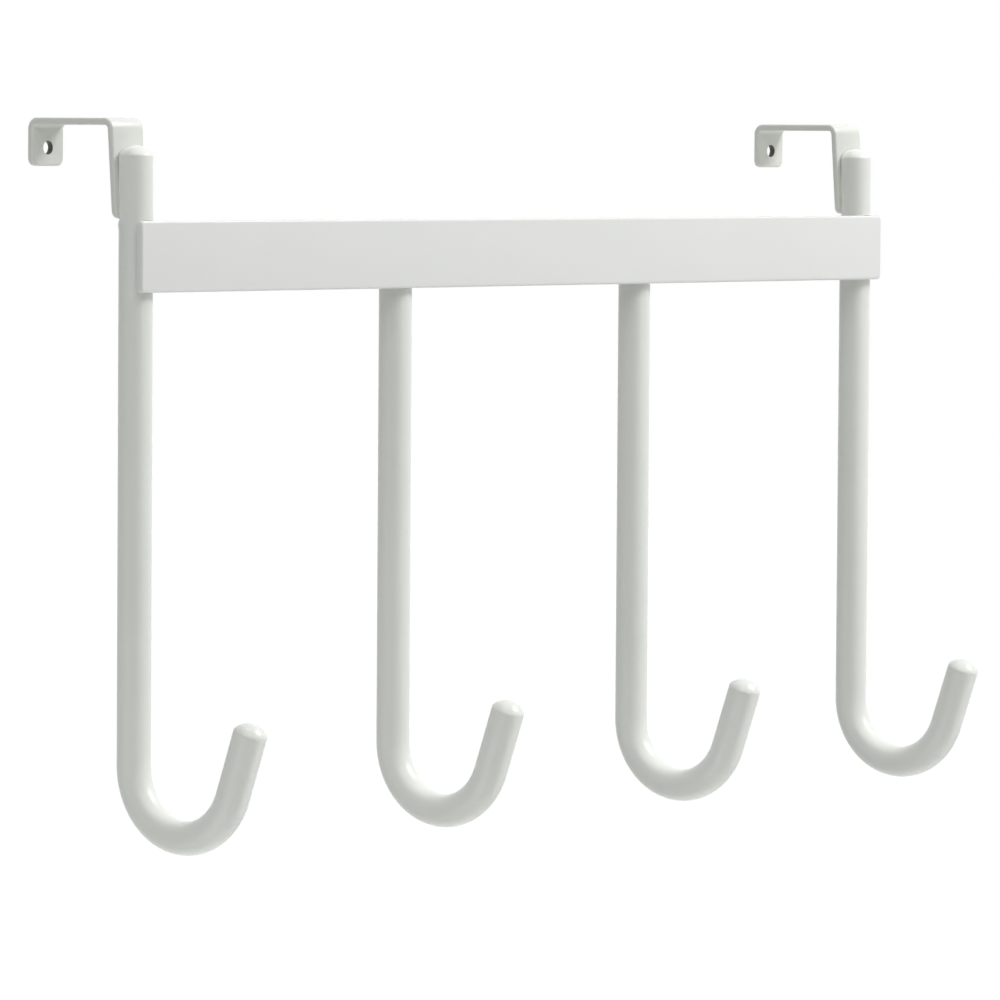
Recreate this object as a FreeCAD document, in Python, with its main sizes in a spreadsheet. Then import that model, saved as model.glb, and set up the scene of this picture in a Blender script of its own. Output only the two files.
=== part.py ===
# Over door hook: two strip brackets, a flat crossbar and four round J hooks, welded into one rack
# Frame: mm, +X along the bar, +Y into the door's back, +Z up
# Origin: midway between the two screw holes, on the back legs' faces that rest on the door
import math
import os

import FreeCAD
import Part
import Sketcher

doc = FreeCAD.newDocument("over_door_hook")

# Sizes in mm and degrees, each named once
dims = doc.addObject("Spreadsheet::Sheet", "Dims")
SIZES = [
    ("strip_width", "16"),
    ("strip_thick", "2.5"),
    ("strip_corner", "3"),
    ("bend_inner", "1.5"),
    ("door_gap", "35.5"),
    ("top_over_hole", "10.5"),
    ("back_leg_drop", "17"),
    ("front_leg_drop", "35"),
    ("front_lean", "4"),
    ("screw_dia", "4.8"),
    ("bar_height", "25"),
    ("bar_thick", "3"),
    ("bar_corner", "2"),
    ("bar_edge", "0.6"),
    ("bar_below_leg", "0.5"),
    ("hook_spacing", "138"),
    ("rod_dia", "12"),
    ("shank_drop", "164.5"),
    ("turn_radius", "24"),
    ("turn_angle", "160.5"),
    ("tip_run", "24"),
    ("crown", "3"),
    ("outer_rise", "26"),
    ("inner_below_top", "3"),
    ("inner_chamfer", "1"),
    ("weld_sink", "0.5"),
    ("weld_margin", "0.2"),
    ("weld_height", "12"),
    ("seat_behind_axis", "1.8"),
    ("run_out", "45"),
    ("tilt_rad", "=front_lean * pi / 180"),
    ("bend_outer", "=bend_inner + strip_thick"),
    ("leg_end_z", "=top_over_hole - front_leg_drop"),
    ("leg_end_y", "=-door_gap - (front_leg_drop - strip_thick) * tan(front_lean * 1deg)"),
    ("root_z", "=leg_end_z + strip_thick * sin(front_lean * 1deg)"),
    ("root_y", "=leg_end_y - strip_thick * cos(front_lean * 1deg)"),
    ("rod_axis_y", "=root_y - seat_behind_axis"),
    ("weld_top_y", "=root_y + weld_height * tan(front_lean * 1deg)"),
    ("bar_top_z", "=leg_end_z - bar_below_leg"),
    ("bar_low_z", "=bar_top_z - bar_height"),
    ("bar_back_y", "=rod_axis_y - rod_dia / 2 + weld_sink"),
    ("bar_length", "=3 * hook_spacing + rod_dia"),
    ("turn_z", "=bar_low_z - shank_drop"),
    ("outer_top_z", "=bar_top_z + outer_rise"),
    ("inner_top_z", "=bar_top_z - inner_below_top"),
]
for row, (alias, text) in enumerate(SIZES, start=1):
    dims.set(f"A{row}", alias)
    dims.set(f"B{row}", text)
    dims.setAlias(f"B{row}", alias)
doc.recompute()


def size(alias):
    return float(getattr(dims, alias))


def vec(x, y):
    return FreeCAD.Vector(x, y, 0)


def new_body(name, x_factor):
    body = doc.addObject("PartDesign::Body", name)
    body.Label = name
    if x_factor:
        body.setExpression(".Placement.Base.x", f"Dims.hook_spacing * {x_factor}")
    return body


def new_sketch(body, name, role):
    sketch = body.newObject("Sketcher::SketchObject", name)
    plane = next(o for o in body.Origin.OriginFeatures if o.Role == role)
    sketch.AttachmentSupport = [(plane, "")]
    sketch.MapMode = "FlatFace"
    return sketch


def bind(sketch, name, constraint, expression):
    index = sketch.addConstraint(constraint)
    sketch.renameConstraint(index, name)
    sketch.setExpression(f"Constraints.{name}", expression)


def polygon(sketch, points):
    count = len(points)
    for i in range(count):
        sketch.addGeometry(Part.LineSegment(vec(*points[i]), vec(*points[(i + 1) % count])), False)
    for i in range(count):
        sketch.addConstraint(Sketcher.Constraint("Coincident", i, 2, (i + 1) % count, 1))


def edge_names(feature, test):
    return [f"Edge{i}" for i, e in enumerate(feature.Shape.Edges, start=1) if test(e)]


def dress(body, kind, name, base, test, value):
    names = edge_names(base, test)
    if not names:
        raise RuntimeError(f"{name}: no edge found")
    feature = body.newObject(kind, name)
    feature.Base = (base, names)
    prop = "Radius" if kind == "PartDesign::Fillet" else "Size"
    feature.setExpression(prop, value)
    doc.recompute()
    return feature


# Bracket: a flat strip bent over the door's top, with a screw hole in its short back leg
def make_bracket(name, x_factor):
    body = new_body(name, x_factor)
    t = size("strip_thick")
    top = size("top_over_hole")
    foot = top - size("back_leg_drop")
    gap = size("door_gap")
    end_y = size("leg_end_y")
    end_z = size("leg_end_z")
    root_y = size("root_y")
    root_z = size("root_z")
    slope = math.tan(size("tilt_rad"))
    outer_top_y = root_y + (top - root_z) * slope
    sketch = new_sketch(body, f"{name}_profile", "YZ_Plane")
    points = [(0, foot), (0, top - t), (-gap, top - t), (end_y, end_z)]
    points += [(root_y, root_z), (outer_top_y, top), (t, top), (t, foot)]
    polygon(sketch, points)
    add = sketch.addConstraint
    add(Sketcher.Constraint("PointOnObject", 0, 1, -2))
    add(Sketcher.Constraint("Vertical", 0))
    add(Sketcher.Constraint("Horizontal", 1))
    add(Sketcher.Constraint("Perpendicular", 2, 3))
    add(Sketcher.Constraint("Parallel", 2, 4))
    add(Sketcher.Constraint("Horizontal", 5))
    add(Sketcher.Constraint("Vertical", 6))
    add(Sketcher.Constraint("Horizontal", 7))
    bind(sketch, "foot_z", Sketcher.Constraint("DistanceY", 0, 1, -1, 1, -foot),
         "Dims.back_leg_drop - Dims.top_over_hole")
    bind(sketch, "under_z", Sketcher.Constraint("DistanceY", -1, 1, 0, 2, top - t),
         "Dims.top_over_hole - Dims.strip_thick")
    bind(sketch, "gap", Sketcher.Constraint("DistanceX", 1, 2, 1, 1, gap), "Dims.door_gap")
    bind(sketch, "end_z", Sketcher.Constraint("DistanceY", 2, 2, -1, 1, -end_z), "-Dims.leg_end_z")
    bind(sketch, "end_y", Sketcher.Constraint("DistanceX", 2, 2, -1, 1, -end_y), "-Dims.leg_end_y")
    bind(sketch, "end_thick", Sketcher.Constraint("Distance", 3, 1, 3, 2, t), "Dims.strip_thick")
    bind(sketch, "top_z", Sketcher.Constraint("DistanceY", -1, 1, 5, 2, top), "Dims.top_over_hole")
    bind(sketch, "back_thick", Sketcher.Constraint("DistanceX", 7, 2, 7, 1, t), "Dims.strip_thick")
    pad = body.newObject("PartDesign::Pad", f"{name}_strip")
    pad.Profile = sketch
    pad.Midplane = True
    pad.setExpression("Length", "Dims.strip_width")
    sketch.Visibility = False
    doc.recompute()

    def across(e):
        return abs(e.BoundBox.XLength - size("strip_width")) < 0.01

    def inner_bend(e):
        c = e.CenterOfMass
        return across(e) and abs(c.z - (top - t)) < 0.01 and (abs(c.y) < 0.01 or abs(c.y + gap) < 0.01)

    def outer_bend(e):
        return across(e) and abs(e.CenterOfMass.z - top) < 0.01

    def leg_end(e):
        c = e.CenterOfMass
        short = e.BoundBox.XLength < 0.01 and e.BoundBox.ZLength < t / 2
        return short and (abs(c.z - foot) < t / 2 or abs(c.z - (end_z + root_z) / 2) < 0.01)

    step = dress(body, "PartDesign::Fillet", f"{name}_inner_bends", pad, inner_bend, "Dims.bend_inner")
    step = dress(body, "PartDesign::Fillet", f"{name}_outer_bends", step, outer_bend, "Dims.bend_outer")
    step = dress(body, "PartDesign::Fillet", f"{name}_leg_corners", step, leg_end, "Dims.strip_corner")
    hole_sketch = new_sketch(body, f"{name}_hole_place", "XZ_Plane")
    hole_sketch.addGeometry(Part.Circle(vec(0, 0), FreeCAD.Vector(0, 0, 1), size("screw_dia") / 2), False)
    hole_sketch.addConstraint(Sketcher.Constraint("Coincident", 0, 3, -1, 1))
    bind(hole_sketch, "screw_dia", Sketcher.Constraint("Diameter", 0, size("screw_dia")), "Dims.screw_dia")
    doc.recompute()
    before = step.Shape.Volume
    hole = body.newObject("PartDesign::Hole", f"{name}_screw_hole")
    hole.Profile = hole_sketch
    hole.Threaded = False
    hole.DepthType = "Dimension"
    hole.setExpression("Depth", "Dims.strip_thick * 2")
    hole.setExpression("Diameter", "Dims.screw_dia")
    hole.DrillPoint = "Flat"
    hole_sketch.Visibility = False
    doc.recompute()
    if before - hole.Shape.Volume < 1:
        hole.Reversed = True
        doc.recompute()
    cut = before - hole.Shape.Volume
    want = math.pi * size("screw_dia") ** 2 / 4 * t
    if abs(cut - want) > 0.5:
        raise RuntimeError(f"{name}: the screw hole removed {cut:.2f} mm3, {want:.2f} expected")
    return body


# Crossbar: a flat bar across the front of the rods, its corners and edges rounded
def make_bar():
    body = new_body("crossbar", 0)
    half = size("bar_length") / 2
    low = size("bar_low_z")
    high = size("bar_top_z")
    sketch = new_sketch(body, "crossbar_outline", "XZ_Plane")
    back = "-Dims.bar_back_y"
    sketch.setExpression(".AttachmentOffset.Base.z", back)
    polygon(sketch, [(-half, low), (half, low), (half, high), (-half, high)])
    add = sketch.addConstraint
    for side, kind in enumerate(("Horizontal", "Vertical", "Horizontal", "Vertical")):
        add(Sketcher.Constraint(kind, side))
    bind(sketch, "right", Sketcher.Constraint("DistanceX", -1, 1, 0, 2, half), "Dims.bar_length / 2")
    bind(sketch, "length", Sketcher.Constraint("DistanceX", 0, 1, 0, 2, 2 * half), "Dims.bar_length")
    bind(sketch, "top", Sketcher.Constraint("DistanceY", 1, 2, -1, 1, -high), "-Dims.bar_top_z")
    bind(sketch, "height", Sketcher.Constraint("DistanceY", 1, 1, 1, 2, high - low), "Dims.bar_height")
    pad = body.newObject("PartDesign::Pad", "crossbar_blank")
    pad.Profile = sketch
    pad.setExpression("Length", "Dims.bar_thick")
    sketch.Visibility = False
    doc.recompute()
    if pad.Shape.BoundBox.YMax > size("bar_back_y") + 0.01:
        raise RuntimeError("the crossbar was padded towards the rods")

    def corner(e):
        return abs(e.BoundBox.YLength - size("bar_thick")) < 0.001

    step = dress(body, "PartDesign::Fillet", "crossbar_corners", pad, corner, "Dims.bar_corner")

    def rim(e):
        return e.BoundBox.YLength < 0.001

    dress(body, "PartDesign::Chamfer", "crossbar_edges", step, rim, "Dims.bar_edge")
    return body


# Hook: a round rod bent to a J, with a weld flat for the bar and, on an outer one, for its bracket
def make_hook(name, x_factor, outer):
    body = new_body(name, x_factor)
    radius = size("rod_dia") / 2
    axis_y = size("rod_axis_y")
    top = "Dims.outer_top_z" if outer else "Dims.inner_top_z"
    top_z = size("outer_top_z" if outer else "inner_top_z")
    turn_z = size("turn_z")
    bend = size("turn_radius")
    angle = math.radians(size("turn_angle"))
    run = size("tip_run") + size("crown")
    centre_y = axis_y - bend
    turn_end = (centre_y + bend * math.cos(angle), turn_z - bend * math.sin(angle))
    tip_dir = (-math.sin(angle), -math.cos(angle))
    tip = (turn_end[0] + run * tip_dir[0], turn_end[1] + run * tip_dir[1])
    path = new_sketch(body, f"{name}_path", "YZ_Plane")
    path.addGeometry(Part.LineSegment(vec(axis_y, top_z), vec(axis_y, turn_z)), False)
    circle = Part.Circle(vec(centre_y, turn_z), FreeCAD.Vector(0, 0, 1), bend)
    path.addGeometry(Part.ArcOfCircle(circle, -angle, 0), False)
    path.addGeometry(Part.LineSegment(vec(*turn_end), vec(*tip)), False)
    add = path.addConstraint
    add(Sketcher.Constraint("Vertical", 0))
    add(Sketcher.Constraint("Tangent", 0, 2, 1, 2))
    add(Sketcher.Constraint("Tangent", 1, 1, 2, 1))
    bind(path, "axis_y", Sketcher.Constraint("DistanceX", 0, 1, -1, 1, -axis_y), "-Dims.rod_axis_y")
    bind(path, "turn_z", Sketcher.Constraint("DistanceY", 0, 2, -1, 1, -turn_z), "-Dims.turn_z")
    bind(path, "shank", Sketcher.Constraint("DistanceY", 0, 2, 0, 1, top_z - turn_z), f"{top} - Dims.turn_z")
    bind(path, "bend", Sketcher.Constraint("Radius", 1, bend), "Dims.turn_radius")
    bind(path, "tilt", Sketcher.Constraint("Angle", 1, angle), "Dims.turn_angle * 1deg")
    bind(path, "run", Sketcher.Constraint("Distance", 2, 1, 2, 2, run), "Dims.tip_run + Dims.crown")
    section = new_sketch(body, f"{name}_section", "XY_Plane")
    section.setExpression(".AttachmentOffset.Base.z", top)
    section.addGeometry(Part.Circle(vec(0, axis_y), FreeCAD.Vector(0, 0, 1), radius), False)
    add = section.addConstraint
    add(Sketcher.Constraint("PointOnObject", 0, 3, -2))
    bind(section, "axis_y", Sketcher.Constraint("DistanceY", 0, 3, -1, 1, -axis_y), "-Dims.rod_axis_y")
    bind(section, "rod_dia", Sketcher.Constraint("Diameter", 0, 2 * radius), "Dims.rod_dia")
    doc.recompute()
    rod = body.newObject("PartDesign::AdditivePipe", f"{name}_rod")
    rod.Profile = section
    rod.Spine = (path, ["Edge1", "Edge2", "Edge3"])
    path.Visibility = False
    section.Visibility = False
    doc.recompute()

    step = rod

    def ring(e, y, z, r):
        if not hasattr(e.Curve, "Radius") or abs(e.Curve.Radius - r) > 0.01:
            return False
        c = e.Curve.Center
        return abs(c.x) < 0.01 and abs(c.y - y) < 0.01 and abs(c.z - z) < 0.01

    def tip_end(e):
        return ring(e, tip[0], tip[1], radius)

    def top_end(e):
        return ring(e, axis_y, top_z, radius)

    if outer:
        step = dress(body, "PartDesign::Chamfer", f"{name}_crowns", step,
                     lambda e: tip_end(e) or top_end(e), "Dims.crown")
    else:
        step = dress(body, "PartDesign::Chamfer", f"{name}_crown", step, tip_end, "Dims.crown")
        step = dress(body, "PartDesign::Chamfer", f"{name}_top_chamfer", step, top_end, "Dims.inner_chamfer")

    low = size("bar_low_z") - size("weld_margin")
    high = size("bar_top_z") + size("weld_margin")
    back = size("bar_back_y")
    deep = size("rod_dia")
    flat = new_sketch(body, f"{name}_bar_seat", "YZ_Plane")
    polygon(flat, [(back - deep, low), (back, low), (back, high), (back - deep, high)])
    add = flat.addConstraint
    for side, kind in enumerate(("Horizontal", "Vertical", "Horizontal", "Vertical")):
        add(Sketcher.Constraint(kind, side))
    bind(flat, "face", Sketcher.Constraint("DistanceX", 0, 2, -1, 1, -back), "-Dims.bar_back_y")
    bind(flat, "deep", Sketcher.Constraint("DistanceX", 0, 1, 0, 2, deep), "Dims.rod_dia")
    bind(flat, "low", Sketcher.Constraint("DistanceY", 0, 2, -1, 1, -low), "Dims.weld_margin - Dims.bar_low_z")
    bind(flat, "tall", Sketcher.Constraint("DistanceY", 1, 1, 1, 2, high - low),
         "Dims.bar_height + 2 * Dims.weld_margin")
    cut = body.newObject("PartDesign::Pocket", f"{name}_bar_flat")
    cut.Profile = flat
    cut.Midplane = True
    cut.setExpression("Length", "Dims.rod_dia * 2")
    flat.Visibility = False
    doc.recompute()
    if cut.Shape.Volume > step.Shape.Volume - 1:
        raise RuntimeError(f"{name}: the bar flat removed nothing")

    if outer:
        root_y = size("root_y")
        root_z = size("root_z")
        weld_y = size("weld_top_y")
        weld_z = root_z + size("weld_height")
        far_y = root_y + size("rod_dia")
        open_z = top_z + size("crown")
        fall = size("rod_dia") / math.tan(math.radians(size("run_out")))
        notch = new_sketch(body, f"{name}_leg_seat", "YZ_Plane")
        points = [(root_y, root_z), (far_y, root_z - fall), (far_y, open_z), (weld_y, open_z), (weld_y, weld_z)]
        polygon(notch, points)
        add = notch.addConstraint
        for side, kind in ((1, "Vertical"), (2, "Horizontal"), (3, "Vertical")):
            add(Sketcher.Constraint(kind, side))
        bind(notch, "root_y", Sketcher.Constraint("DistanceX", 0, 1, -1, 1, -root_y), "-Dims.root_y")
        bind(notch, "root_z", Sketcher.Constraint("DistanceY", 0, 1, -1, 1, -root_z), "-Dims.root_z")
        bind(notch, "reach", Sketcher.Constraint("DistanceX", 0, 1, 0, 2, far_y - root_y), "Dims.rod_dia")
        bind(notch, "fall", Sketcher.Constraint("DistanceY", 0, 2, 0, 1, fall),
             "Dims.rod_dia / tan(Dims.run_out * 1deg)")
        bind(notch, "weld", Sketcher.Constraint("DistanceY", 4, 2, 4, 1, weld_z - root_z), "Dims.weld_height")
        bind(notch, "weld_y", Sketcher.Constraint("DistanceX", 4, 1, -1, 1, -weld_y), "-Dims.weld_top_y")
        bind(notch, "open_z", Sketcher.Constraint("DistanceY", 0, 1, 3, 1, open_z - root_z),
             "Dims.outer_top_z + Dims.crown - Dims.root_z")
        leg_cut = body.newObject("PartDesign::Pocket", f"{name}_leg_flat")
        leg_cut.Profile = notch
        leg_cut.Midplane = True
        leg_cut.setExpression("Length", "Dims.rod_dia * 2")
        notch.Visibility = False
        doc.recompute()
        if leg_cut.Shape.Volume > cut.Shape.Volume - 1:
            raise RuntimeError(f"{name}: the bracket flat removed nothing")
    return body


# The rack, built in assembly order
nodes = [
    make_bracket("left_door_bracket", -1.5),
    make_bracket("right_door_bracket", 1.5),
    make_bar(),
    make_hook("left_outer_hook", -1.5, True),
    make_hook("left_inner_hook", -0.5, False),
    make_hook("right_inner_hook", 0.5, False),
    make_hook("right_outer_hook", 1.5, True),
]
doc.recompute()

# Checks
for obj in doc.Objects:
    if "Invalid" in obj.State or "Error" in obj.State:
        raise RuntimeError(f"{obj.Name} did not recompute: {obj.State}")
for node in nodes:
    shape = node.Shape
    if shape.isNull() or not shape.isValid() or len(shape.Solids) != 1:
        raise RuntimeError(f"{node.Label} is not one valid solid")

# One STEP file per piece
os.makedirs("parts", exist_ok=True)
for node in nodes:
    node.Shape.exportStep(f"parts/{node.Label}.step")
    box = node.Shape.BoundBox
    print(node.Label, [round(v, 2) for v in (box.XMin, box.YMin, box.ZMin, box.XMax, box.YMax, box.ZMax)],
          round(node.Shape.Volume, 1))
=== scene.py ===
import math

import bmesh
import bpy
from mathutils import Matrix, Vector


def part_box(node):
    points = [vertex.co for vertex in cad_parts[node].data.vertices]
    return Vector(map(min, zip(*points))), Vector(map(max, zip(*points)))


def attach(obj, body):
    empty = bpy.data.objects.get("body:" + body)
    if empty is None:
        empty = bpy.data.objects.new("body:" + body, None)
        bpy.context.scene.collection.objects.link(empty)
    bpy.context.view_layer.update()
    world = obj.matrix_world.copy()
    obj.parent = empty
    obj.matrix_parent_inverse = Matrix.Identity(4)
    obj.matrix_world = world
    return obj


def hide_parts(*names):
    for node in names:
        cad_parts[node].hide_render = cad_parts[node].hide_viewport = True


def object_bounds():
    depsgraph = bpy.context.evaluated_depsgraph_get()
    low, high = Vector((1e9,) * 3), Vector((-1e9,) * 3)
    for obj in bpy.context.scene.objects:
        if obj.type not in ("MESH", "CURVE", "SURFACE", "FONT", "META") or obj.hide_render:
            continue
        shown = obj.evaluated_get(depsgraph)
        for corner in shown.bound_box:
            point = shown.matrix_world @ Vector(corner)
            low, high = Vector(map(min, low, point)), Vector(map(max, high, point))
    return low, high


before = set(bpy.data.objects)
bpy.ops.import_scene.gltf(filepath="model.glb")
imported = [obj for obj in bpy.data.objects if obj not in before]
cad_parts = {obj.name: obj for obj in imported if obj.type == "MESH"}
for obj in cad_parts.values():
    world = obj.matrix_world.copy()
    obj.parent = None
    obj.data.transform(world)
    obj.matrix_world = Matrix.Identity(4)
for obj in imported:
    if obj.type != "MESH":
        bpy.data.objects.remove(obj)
cad_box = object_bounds()


# Four round J hooks: 12 mm steel rod, cut to length, its ends crowned, bent cold to a J.
# The outer pair runs up past the bar, its back pressed flat where the door bracket is welded on.
# Rods, bar and brackets are welded together first, then powder coated white in one go.
inner_low, inner_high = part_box("left_inner_hook")
bar_low, bar_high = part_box("crossbar")
bracket_low, bracket_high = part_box("left_door_bracket")

rod_radius = (inner_high.x - inner_low.x) / 2
rod_axis_y = inner_high.y - rod_radius
turn_radius = 0.024
turn_angle = math.radians(160.5)
turn_z = inner_low.z + rod_radius + turn_radius
bend_length = turn_radius * turn_angle
tip_run = 0.027

crown_height = 0.0038
crown_rim = 0.0014
sheared_chamfer = 0.001
sheared_soft = 0.0002

strip_thick = 0.0025
leg_lean = math.radians(4)
leg_root_z = bracket_low.z + strip_thick * math.sin(leg_lean)
seat_height = 0.012
run_out_slope = math.radians(45)
pressed_spread = 0.0006
full_press_reach = 0.0025

# How finely a rod's mesh is cut: points round it, rings in the bend and the crown, and the heights
# of the rings at the bar's weld flat, at the leg's seat and its run-out, and down the shank.
rod_sides = 72
bend_rings = 44
dome_rings = 12
rim_rings = 5
flat_edge = 0.0002
flat_slack = 0.0001
seat_rises = (0.022, 0.016, 0.012, 0.009, 0.006, 0.004, 0.002, 0.001, 0.0002, -0.0003)
run_out_drop = 0.0008
run_out_step = 0.0004
run_out_rings = 12
shank_step = 0.03
shank_rings = 5
head_clearance = 0.0045
tip_step = 0.007
tip_rings = 2
crease_angle = math.radians(28)


def crown_profile():
    """Depth and radius of a domed end, from its middle out over the softened rim to the rod's side."""
    inset = rod_radius - crown_rim
    dome = (inset ** 2 + crown_height ** 2 - crown_rim ** 2) / (2 * (crown_height - crown_rim))
    meet = math.asin(inset / (dome - crown_rim))
    profile = []
    for i in range(1, dome_rings + 1):
        a = meet * i / dome_rings
        profile.append((dome * (1 - math.cos(a)), dome * math.sin(a)))
    for i in range(1, rim_rings + 1):
        a = meet + (math.pi / 2 - meet) * i / rim_rings
        profile.append((crown_height - crown_rim * math.cos(a), inset + crown_rim * math.sin(a)))
    return profile


def sheared_profile():
    """The same for a plain sheared end, its edge broken by a small chamfer."""
    soft = sheared_soft
    flat = rod_radius - sheared_chamfer
    return [
        (0.0, flat - 2 * soft),
        (soft / 4, flat - soft / 2),
        (soft, flat + soft),
        (sheared_chamfer - soft, rod_radius - soft),
        (sheared_chamfer + soft, rod_radius)]


def rod_point(run, shank):
    """Centre of the rod, a run along it from its top end, and the angle it has turned by there."""
    if run <= shank:
        return rod_axis_y, turn_z + shank - run, 0.0
    angle = min((run - shank) / turn_radius, turn_angle)
    y = rod_axis_y - turn_radius * (1 - math.cos(angle))
    z = turn_z - turn_radius * math.sin(angle)
    past = max(run - shank - bend_length, 0.0)
    return y - past * math.sin(angle), z - past * math.cos(angle), angle


def seat_limit(z):
    """How far back an outer rod reaches at a height: the seat of its bracket's leg, and the run-out."""
    if z < leg_root_z:
        return bracket_low.y + (leg_root_z - z) / math.tan(run_out_slope)
    return bracket_low.y + min(z - leg_root_z, seat_height) * math.tan(leg_lean)


def press(x, y, z):
    """Moves a point of an outer rod's head as the press did: flat at the back, spread at the sides."""
    limit = seat_limit(z) - rod_axis_y
    back = y - rod_axis_y
    if back <= 0 or limit >= rod_radius:
        return x, y
    reach = min(back, limit)
    round_half = math.sqrt(rod_radius ** 2 - reach ** 2)
    depth = min((rod_radius - limit) / (rod_radius - full_press_reach), 1.0)
    spread = pressed_spread * depth * (reach / limit) ** 2
    return x * (1 + spread / round_half), rod_axis_y + reach


def closed_mesh(name, rings):
    """Mesh through rings of points, each ring joined to the next, the first and the last closed."""
    bm = bmesh.new()
    loops = [[bm.verts.new(point) for point in ring] for ring in rings]
    count = len(loops[0])
    for first, second in zip(loops, loops[1:]):
        for i in range(count):
            j = (i + 1) % count
            bm.faces.new((first[i], first[j], second[j], second[i]))
    bm.faces.new(reversed(loops[0]))
    bm.faces.new(loops[-1])
    bmesh.ops.recalc_face_normals(bm, faces=bm.faces)
    mesh = bpy.data.meshes.new(name)
    bm.to_mesh(mesh)
    bm.free()
    return mesh


def hook_stations(shank, top_z, outer):
    """Where a rod's rings stand: each one's run from the top end, and the rod's radius there."""
    tip_crown = crown_profile()
    top_end = tip_crown if outer else sheared_profile()
    heights = [bar_high.z + flat_edge, bar_high.z, bar_low.z, bar_low.z - flat_edge]
    if outer:
        heights += [leg_root_z + rise for rise in seat_rises]
        heights += [leg_root_z - run_out_drop - i * run_out_step for i in range(run_out_rings)]
    heights += [bar_low.z - shank_step * i for i in range(1, shank_rings + 1)]
    heights = [z for z in sorted(heights, reverse=True) if z < top_z - head_clearance]
    stations = list(top_end)
    stations += [(top_z - z, rod_radius) for z in heights]
    stations += [(shank + bend_length * i / bend_rings, rod_radius) for i in range(bend_rings + 1)]
    stations += [(shank + bend_length + tip_step * i, rod_radius) for i in range(1, tip_rings + 1)]
    tip_end = shank + bend_length + tip_run
    stations += [(tip_end - depth, radius) for depth, radius in reversed(tip_crown)]
    return stations


def hook_mesh(name, centre_x, top_z, outer):
    """One J hook, with the flat for the bar at its front and, on an outer one, the leg's seat behind."""
    shank = top_z - turn_z
    rings = []
    for run, radius in hook_stations(shank, top_z, outer):
        y, z, angle = rod_point(run, shank)
        ring = []
        for i in range(rod_sides):
            a = 2 * math.pi * i / rod_sides
            out = radius * math.sin(a)
            px = radius * math.cos(a)
            py = y + out * math.cos(angle)
            pz = z - out * math.sin(angle)
            if run < shank and bar_low.z - flat_slack < pz < bar_high.z + flat_slack:
                py = max(py, bar_high.y)
            if outer and run < shank:
                px, py = press(px, py, pz)
            ring.append((centre_x + px, py, pz))
        rings.append(ring)
    return closed_mesh(name, rings)


def smooth_by_angle(mesh):
    mesh.shade_smooth()
    mesh.set_sharp_from_angle(angle=crease_angle)


def powder_coat_skin():
    """Group: the orange peel, grain and slow drift in tone of a sprayed and baked powder coat."""
    group = bpy.data.node_groups.new("powder_coat_skin", "ShaderNodeTree")
    for label, value in (("Peel size", 0.0016), ("Grain size", 0.00035), ("Drift size", 0.045)):
        socket = group.interface.new_socket(label, in_out="INPUT", socket_type="NodeSocketFloat")
        socket.default_value = value
    for label in ("Height", "Tone", "Gloss"):
        group.interface.new_socket(label, in_out="OUTPUT", socket_type="NodeSocketFloat")
    nodes = group.nodes
    links = group.links
    source = nodes.new("NodeGroupInput")
    sink = nodes.new("NodeGroupOutput")
    place = nodes.new("ShaderNodeTexCoord")

    def noise(size_socket, detail, rough):
        scale = nodes.new("ShaderNodeMath")
        scale.operation = "DIVIDE"
        scale.inputs[0].default_value = 1.0
        links.new(source.outputs[size_socket], scale.inputs[1])
        texture = nodes.new("ShaderNodeTexNoise")
        texture.inputs["Detail"].default_value = detail
        texture.inputs["Roughness"].default_value = rough
        links.new(place.outputs["Object"], texture.inputs["Vector"])
        links.new(scale.outputs[0], texture.inputs["Scale"])
        return texture.outputs["Fac"]

    def blend(first, second, share):
        mix = nodes.new("ShaderNodeMix")
        mix.inputs["Factor"].default_value = share
        links.new(first, mix.inputs["A"])
        links.new(second, mix.inputs["B"])
        return mix.outputs["Result"]

    peel = noise("Peel size", detail=2.0, rough=0.4)
    grain = noise("Grain size", detail=1.0, rough=0.5)
    drift = noise("Drift size", detail=3.0, rough=0.5)
    links.new(blend(peel, grain, share=0.2), sink.inputs["Height"])
    links.new(blend(drift, peel, share=0.25), sink.inputs["Tone"])
    links.new(blend(drift, grain, share=0.45), sink.inputs["Gloss"])
    return group


coat_skin = powder_coat_skin()
coat_noise_low = 0.3
coat_noise_high = 0.7
coat_bump_strength = 0.5
coat_ior = 1.5
# Places of the colour sockets among a Mix node's inputs and outputs, where names repeat.
mix_colour_a = 6
mix_colour_b = 7
mix_colour_out = 2


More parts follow.
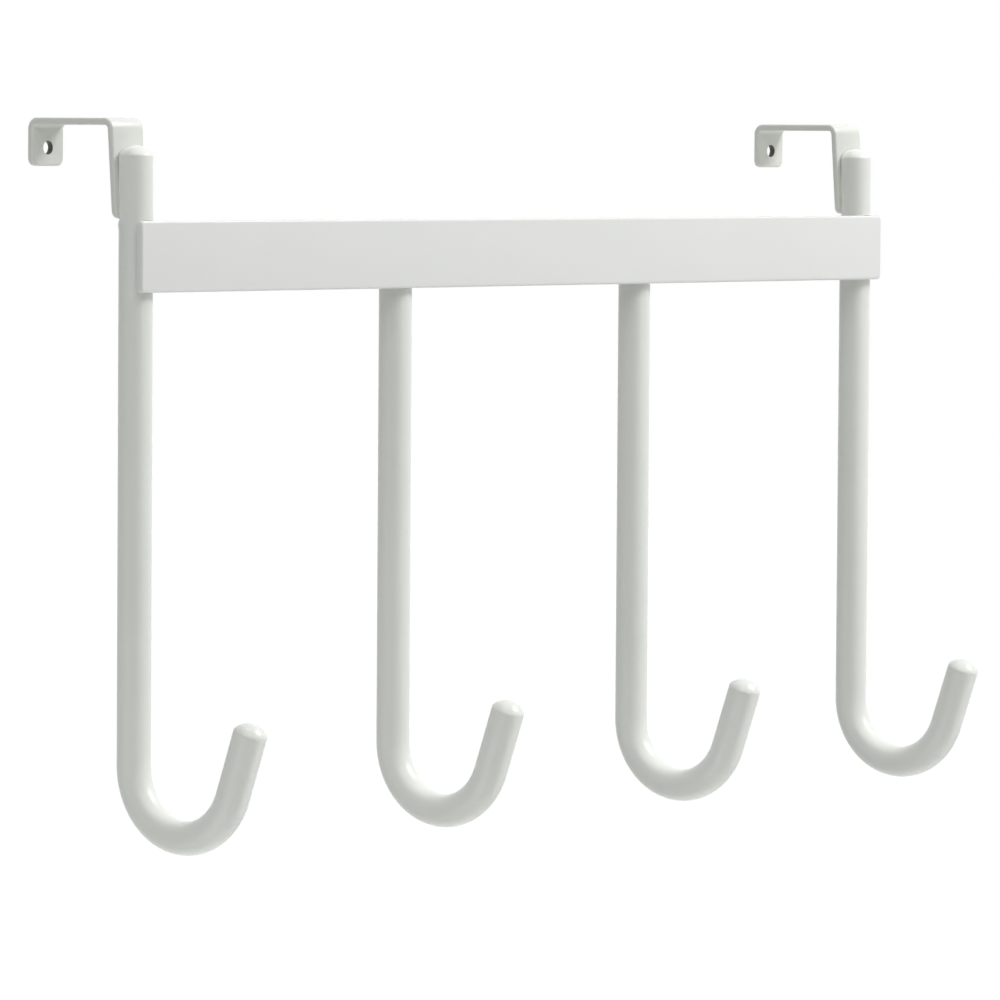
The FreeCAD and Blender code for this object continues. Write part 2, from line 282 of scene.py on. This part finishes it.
def coat_material(name, thick, thin, gloss, peel_size, peel_depth):
    """Powder coat: thick is its tone where it lies full, thin where the spray was leaner, gloss its
    least and most roughness."""
    material = bpy.data.materials.new(name)
    material.use_nodes = True
    nodes = material.node_tree.nodes
    links = material.node_tree.links
    shader = nodes["Principled BSDF"]
    shader.inputs["IOR"].default_value = coat_ior
    skin = nodes.new("ShaderNodeGroup")
    skin.node_tree = coat_skin
    skin.inputs["Peel size"].default_value = peel_size

    def spread(label):
        spread_range = nodes.new("ShaderNodeMapRange")
        spread_range.inputs["From Min"].default_value = coat_noise_low
        spread_range.inputs["From Max"].default_value = coat_noise_high
        links.new(skin.outputs[label], spread_range.inputs["Value"])
        return spread_range

    tone = spread("Tone")
    colour = nodes.new("ShaderNodeMix")
    colour.data_type = "RGBA"
    colour.inputs[mix_colour_a].default_value = (*thin, 1)
    colour.inputs[mix_colour_b].default_value = (*thick, 1)
    links.new(tone.outputs["Result"], colour.inputs["Factor"])
    links.new(colour.outputs[mix_colour_out], shader.inputs["Base Color"])
    sheen = spread("Gloss")
    sheen.inputs["To Min"].default_value = gloss[0]
    sheen.inputs["To Max"].default_value = gloss[1]
    links.new(sheen.outputs["Result"], shader.inputs["Roughness"])
    bump = nodes.new("ShaderNodeBump")
    bump.inputs["Strength"].default_value = coat_bump_strength
    bump.inputs["Distance"].default_value = peel_depth
    links.new(skin.outputs["Height"], bump.inputs["Height"])
    links.new(bump.outputs["Normal"], shader.inputs["Normal"])
    return material


rod_coat = coat_material(
    "coat_on_rod",
    thick=(0.825, 0.835, 0.80),
    thin=(0.795, 0.81, 0.77),
    gloss=(0.30, 0.38),
    peel_size=0.0018,
    peel_depth=0.00004)

for node in ("left_outer_hook", "left_inner_hook", "right_inner_hook", "right_outer_hook"):
    low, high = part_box(node)
    mesh = hook_mesh(node, (low.x + high.x) / 2, high.z, "outer" in node)
    smooth_by_angle(mesh)
    mesh.materials.append(rod_coat)
    hook = bpy.data.objects.new(f"{node}_coated", mesh)
    bpy.context.scene.collection.objects.link(hook)
    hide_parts(node)
    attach(hook, "root")


# Crossbar: 25 by 3 mm flat steel bar, sheared to length, its corners and edges rounded over.
# It lies across the front of all four rods, half a millimetre into the weld flat on each, and is
# resistance welded there, so that no bead shows.
bar_corner = 0.002
bar_corner_steps = 8
bar_edge = 0.0009
bar_edge_steps = 6
round_bevel = 0.5
level_slack = 1e-6
square_on = 0.9


def crossbar_mesh():
    bm = bmesh.new()
    centre = (bar_low + bar_high) / 2
    size = bar_high - bar_low
    placed = Matrix.Translation(centre) @ Matrix.Diagonal((*size, 1))
    bmesh.ops.create_cube(bm, size=1.0, matrix=placed)
    corners = [e for e in bm.edges if abs(e.verts[0].co.y - e.verts[1].co.y) > size.y / 2]
    bmesh.ops.bevel(bm, geom=corners, offset=bar_corner, segments=bar_corner_steps,
                    affect="EDGES", profile=round_bevel)
    rims = []
    for e in bm.edges:
        level = abs(e.verts[0].co.y - e.verts[1].co.y) < level_slack
        if level and any(abs(f.normal.y) > square_on for f in e.link_faces):
            rims.append(e)
    bmesh.ops.bevel(bm, geom=rims, offset=bar_edge, segments=bar_edge_steps,
                    affect="EDGES", profile=round_bevel)
    mesh = bpy.data.meshes.new("crossbar")
    bm.to_mesh(mesh)
    bm.free()
    return mesh


bar_coat = coat_material(
    "coat_on_bar",
    thick=(0.80, 0.80, 0.79),
    thin=(0.78, 0.785, 0.77),
    gloss=(0.30, 0.38),
    peel_size=0.0022,
    peel_depth=0.00003)

bar_mesh = crossbar_mesh()
smooth_by_angle(bar_mesh)
bar_mesh.materials.append(bar_coat)
crossbar = bpy.data.objects.new("crossbar_coated", bar_mesh)
bpy.context.scene.collection.objects.link(crossbar)
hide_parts("crossbar")
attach(crossbar, "root")


# Two door brackets: 16 by 2.5 mm steel strip bent over the door's top, its corners rounded, with
# one screw hole in the short back leg. The front leg leans back towards the door, so that only its
# lower end meets the seat on its rod, where it is welded.
strip_half = (bracket_high.x - bracket_low.x) / 2
strip_corner = 0.003
strip_edge = 0.0008
strip_edge_steps = 5
strip_bend = 0.0015
strip_bend_steps = 12
door_gap = 0.0355
back_leg_drop = 0.017
end_gaps = (0, 0.00008, 0.0002, 0.0004, 0.0006, 0.0008, 0.0011, 0.0014, 0.0018, 0.0022, 0.0026, 0.003)
clear_of_ends = 1.0
screw_radius = 0.0024
screw_sides = 48
drill_length = strip_thick * 3
hole_edge = 0.00015
hole_edge_steps = 3
hole_slack = 1e-5
wall_slack = 0.0001
side_on = 0.5


def strip_path():
    """Middle of the strip, from the back leg's end over the top to the front leg's: points, the way
    the strip's outer face looks there, and the gap to the nearer end."""
    bend = strip_bend + strip_thick / 2
    under_z = bracket_high.z - strip_thick
    turn = math.pi / 2 - leg_lean
    back_centre = Vector((-strip_bend, under_z - strip_bend))
    tangent = strip_bend * math.tan(turn / 2)
    front_y = -door_gap - tangent * math.sin(leg_lean) + strip_bend * math.cos(leg_lean)
    front_centre = Vector((front_y, under_z - strip_bend))
    path = []
    foot = bracket_high.z - back_leg_drop
    for gap in end_gaps:
        path.append((Vector((strip_thick / 2, foot + gap)), 0.0, gap))
    for i in range(strip_bend_steps + 1):
        a = math.pi / 2 * i / strip_bend_steps
        spot = back_centre + bend * Vector((math.cos(a), math.sin(a)))
        path.append((spot, a, clear_of_ends))
    for i in range(strip_bend_steps + 1):
        a = math.pi / 2 + turn * i / strip_bend_steps
        spot = front_centre + bend * Vector((math.cos(a), math.sin(a)))
        path.append((spot, a, clear_of_ends))
    leg_end = Vector((bracket_low.y + strip_thick / 2 * math.cos(leg_lean), bracket_low.z))
    leg_end.y += strip_thick / 2 * math.sin(leg_lean)
    down = Vector((-math.sin(leg_lean), -math.cos(leg_lean)))
    for gap in reversed(end_gaps):
        path.append((leg_end - down * gap, math.pi / 2 + turn, gap))
    return path


def strip_section(end_gap):
    """Cross-section of the strip, its edges rounded, drawn in near an end for the rounded corners."""
    half = strip_half
    thick = strip_thick / 2
    if end_gap < strip_corner:
        half -= strip_corner - math.sqrt(strip_corner ** 2 - (strip_corner - end_gap) ** 2)
    if end_gap < strip_edge:
        thick -= strip_edge - math.sqrt(strip_edge ** 2 - (strip_edge - end_gap) ** 2)
    edge = min(strip_edge, thick)
    points = []
    for sx, sn, start in ((1, 1, 0), (-1, 1, 1), (-1, -1, 2), (1, -1, 3)):
        for i in range(strip_edge_steps + 1):
            a = (start + i / strip_edge_steps) * math.pi / 2
            x = sx * (half - edge) + edge * math.cos(a)
            n = sn * (thick - edge) + edge * math.sin(a)
            points.append((x, n))
    return points


def bracket_mesh(name, centre_x):
    rings = []
    for point, heading, end_gap in strip_path():
        outward = Vector((math.cos(heading), math.sin(heading)))
        ring = []
        for x, n in strip_section(end_gap):
            spot = point + outward * n
            ring.append((centre_x + x, spot.x, spot.y))
        rings.append(ring)
    return closed_mesh(name, rings)


def drill(strip, centre_x):
    """Cuts the screw hole through the back leg and rounds its rims a little, as the coat does. Its wall
    gets the second material, a near-black painted shade.
    """
    bm = bmesh.new()
    turn = Matrix.Rotation(math.pi / 2, 4, "X")
    middle = Matrix.Translation((centre_x, strip_thick / 2, 0))
    bmesh.ops.create_cone(bm, cap_ends=True, segments=screw_sides, radius1=screw_radius,
                          radius2=screw_radius, depth=drill_length, matrix=middle @ turn)
    tool_mesh = bpy.data.meshes.new("drill")
    bm.to_mesh(tool_mesh)
    bm.free()
    tool = bpy.data.objects.new("drill", tool_mesh)
    bpy.context.scene.collection.objects.link(tool)
    cut = strip.modifiers.new("screw_hole", "BOOLEAN")
    cut.operation = "DIFFERENCE"
    cut.solver = "EXACT"
    cut.object = tool
    drilled_strip = strip.evaluated_get(bpy.context.evaluated_depsgraph_get())
    drilled = bpy.data.meshes.new_from_object(drilled_strip)
    strip.modifiers.clear()
    strip.data = drilled
    bpy.data.objects.remove(tool)
    bm = bmesh.new()
    bm.from_mesh(drilled)
    rims = []
    for e in bm.edges:
        ends = [v.co for v in e.verts]
        on_hole = all(abs(math.hypot(c.x - centre_x, c.z) - screw_radius) < hole_slack for c in ends)
        if on_hole and abs(ends[0].y - ends[1].y) < level_slack:
            rims.append(e)
    bmesh.ops.bevel(bm, geom=rims, offset=hole_edge, segments=hole_edge_steps,
                    affect="EDGES", profile=round_bevel)
    # The hole's wall faces take the second material, a near-black painted shade for the shadow inside
    # the hole.
    for f in bm.faces:
        c = f.calc_center_median()
        in_hole = math.hypot(c.x - centre_x, c.z) < screw_radius + wall_slack
        if in_hole and abs(f.normal.y) < side_on:
            f.material_index = 1
    bm.to_mesh(drilled)
    bm.free()


# The strip's coat is painted darker than the rods' and the bar's, though all are one white coat: a
# painted shade for the shade the bracket's top throws on its back leg.
shaded_strip_coat = coat_material(
    "coat_on_strip_painted_shade",
    thick=(0.76, 0.765, 0.73),
    thin=(0.73, 0.74, 0.70),
    gloss=(0.28, 0.36),
    peel_size=0.0016,
    peel_depth=0.00005)
# Near black for the screw hole's wall: painted shade, standing in for the shadow inside the hole.
hole_wall_painted_shade = coat_material(
    "painted_shade_in_hole",
    thick=(0.16, 0.16, 0.145),
    thin=(0.05, 0.05, 0.045),
    gloss=(0.45, 0.6),
    peel_size=0.0009,
    peel_depth=0.00008)

for node in ("left_door_bracket", "right_door_bracket"):
    low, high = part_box(node)
    middle_x = (low.x + high.x) / 2
    bracket = bpy.data.objects.new(f"{node}_coated", bracket_mesh(node, middle_x))
    bpy.context.scene.collection.objects.link(bracket)
    drill(bracket, middle_x)
    smooth_by_angle(bracket.data)
    bracket.data.materials.append(shaded_strip_coat)
    bracket.data.materials.append(hole_wall_painted_shade)
    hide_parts(node)
    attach(bracket, "root")


# Floor: a plain pale studio floor far below, as the rack hangs near the top of a door.
# Its own glow and the light on it come to white for the camera and in reflections, with the rack's
# shadow kept. From below it is clear, so that the rack's underside can be looked at too.
floor_drop = 1.7
floor_half = 30
floor_colour = (0.9, 0.9, 0.9, 1)
floor_roughness = 0.9
floor_glow_level = 0.86


def seen_as_backdrop(nodes, links):
    """1 for the rays that show the backdrop: the camera's, a reflection's and a see-through part's."""
    path = nodes.new("ShaderNodeLightPath")
    seen = path.outputs["Is Camera Ray"]
    for ray in ("Is Glossy Ray", "Is Transmission Ray"):
        either = nodes.new("ShaderNodeMath")
        either.operation = "MAXIMUM"
        links.new(seen, either.inputs[0])
        links.new(path.outputs[ray], either.inputs[1])
        seen = either.outputs[0]
    return seen


floor_mesh = bpy.data.meshes.new("floor")
floor_signs = ((-1, -1), (1, -1), (1, 1), (-1, 1))
floor_corners = [(sx * floor_half, sy * floor_half, 0) for sx, sy in floor_signs]
floor_mesh.from_pydata(floor_corners, [], [(0, 1, 2, 3)])
floor = bpy.data.objects.new("floor", floor_mesh)
floor.location.z = cad_box[0][2] - floor_drop
bpy.context.scene.collection.objects.link(floor)
floor_paint = bpy.data.materials.new("floor_paint")
floor_paint.use_nodes = True
floor_nodes = floor_paint.node_tree.nodes
floor_links = floor_paint.node_tree.links
floor_shader = floor_nodes["Principled BSDF"]
floor_shader.inputs["Base Color"].default_value = floor_colour
floor_shader.inputs["Roughness"].default_value = floor_roughness
floor_shader.inputs["Specular IOR Level"].default_value = 0.0
floor_glow = floor_nodes.new("ShaderNodeEmission")
floor_level = floor_nodes.new("ShaderNodeMath")
floor_level.operation = "MULTIPLY"
floor_level.inputs[1].default_value = floor_glow_level
floor_links.new(seen_as_backdrop(floor_nodes, floor_links), floor_level.inputs[0])
floor_links.new(floor_level.outputs[0], floor_glow.inputs["Strength"])
floor_sum = floor_nodes.new("ShaderNodeAddShader")
floor_links.new(floor_shader.outputs[0], floor_sum.inputs[0])
floor_links.new(floor_glow.outputs[0], floor_sum.inputs[1])
floor_side = floor_nodes.new("ShaderNodeNewGeometry")
floor_clear = floor_nodes.new("ShaderNodeBsdfTransparent")
floor_mix = floor_nodes.new("ShaderNodeMixShader")
floor_links.new(floor_side.outputs["Backfacing"], floor_mix.inputs["Fac"])
floor_links.new(floor_sum.outputs[0], floor_mix.inputs[1])
floor_links.new(floor_clear.outputs[0], floor_mix.inputs[2])
floor_links.new(floor_mix.outputs[0], floor_nodes["Material Output"].inputs["Surface"])
floor_mesh.materials.append(floor_paint)


# Studio light: an even pale room, seen as plain white, and six soft lamps round the rack. The key
# stands high at the front right, two fills above, two low ones for the light that a white table
# throws back, and one behind that shows in no reflection.
room_level = 0.19
room_tint = (0.96, 1.0, 0.95, 1)
backdrop_white = (1, 1, 1, 1)
room = bpy.data.worlds.new("room")
bpy.context.scene.world = room
room.use_nodes = True
room_nodes = room.node_tree.nodes
room_links = room.node_tree.links
room_light = room_nodes["Background"]
room_light.inputs["Color"].default_value = room_tint
room_light.inputs["Strength"].default_value = room_level
room_white = room_nodes.new("ShaderNodeBackground")
room_white.inputs["Color"].default_value = backdrop_white
room_white.inputs["Strength"].default_value = 1.0
room_mix = room_nodes.new("ShaderNodeMixShader")
room_links.new(seen_as_backdrop(room_nodes, room_links), room_mix.inputs["Fac"])
room_links.new(room_light.outputs[0], room_mix.inputs[1])
room_links.new(room_white.outputs[0], room_mix.inputs[2])
room_links.new(room_mix.outputs[0], room_nodes["World Output"].inputs["Surface"])

rack_middle = (Vector(cad_box[0]) + Vector(cad_box[1])) / 2
for name, direction, distance, lamp_size, power in (
        ("key", (0.48, -0.52, 0.71), 2.2, 0.8, 33.0),
        ("top_front", (-0.51, -0.43, 0.74), 2.2, 1.6, 15.5),
        ("top", (0.04, 0.03, 1.0), 2.2, 1.2, 9.0),
        ("bounce_right", (0.43, -0.57, -0.71), 2.2, 1.8, 18.0),
        ("bounce_left", (-0.84, 0.05, -0.55), 1.0, 0.7, 1.8),
        ("fill_behind", (0.77, 0.64, -0.05), 2.2, 2.2, 30.0)):
    lamp = bpy.data.lights.new(name, "AREA")
    lamp.shape = "SQUARE"
    lamp.size = lamp_size
    lamp.energy = power
    lamp_object = bpy.data.objects.new(name, lamp)
    lamp_object.location = rack_middle + Vector(direction).normalized() * distance
    lamp_object.rotation_euler = Vector(direction).to_track_quat("Z", "Y").to_euler()
    lamp_object.visible_camera = False
    lamp_object.visible_glossy = name != "fill_behind"
    bpy.context.scene.collection.objects.link(lamp_object)


# Camera: a long lens level with the rack's top, turned 50 degrees from the bar's front towards its
# left end and looking 3 degrees down. Its place, turn, roll and lens were fitted to the rods, the
# bar, the screw holes and the tips in the photograph's square frame.
camera_azimuth = math.radians(50.093)
camera_elevation = math.radians(2.986)
camera_roll = math.radians(0.382)
camera_distance = 2.5580
camera_target = Vector((-0.0127, -0.045, -0.1289))
camera_data = bpy.data.cameras.new("camera")
camera_data.sensor_width = 36
camera_data.lens = 249.73
camera_data.clip_end = 200
camera = bpy.data.objects.new("camera", camera_data)
forward = Vector((
    math.sin(camera_azimuth) * math.cos(camera_elevation),
    math.cos(camera_azimuth) * math.cos(camera_elevation),
    -math.sin(camera_elevation)))
right = Vector((math.cos(camera_azimuth), -math.sin(camera_azimuth), 0))
up = right.cross(forward)
turned_right = math.cos(camera_roll) * right + math.sin(camera_roll) * up
turned_up = math.cos(camera_roll) * up - math.sin(camera_roll) * right
camera.matrix_world = Matrix((
    (turned_right.x, turned_up.x, -forward.x, 0),
    (turned_right.y, turned_up.y, -forward.y, 0),
    (turned_right.z, turned_up.z, -forward.z, 0),
    (0, 0, 0, 1)))
camera.location = camera_target - forward * camera_distance
bpy.context.scene.collection.objects.link(camera)
bpy.context.scene.camera = camera
bpy.context.scene.view_settings.view_transform = "Standard"
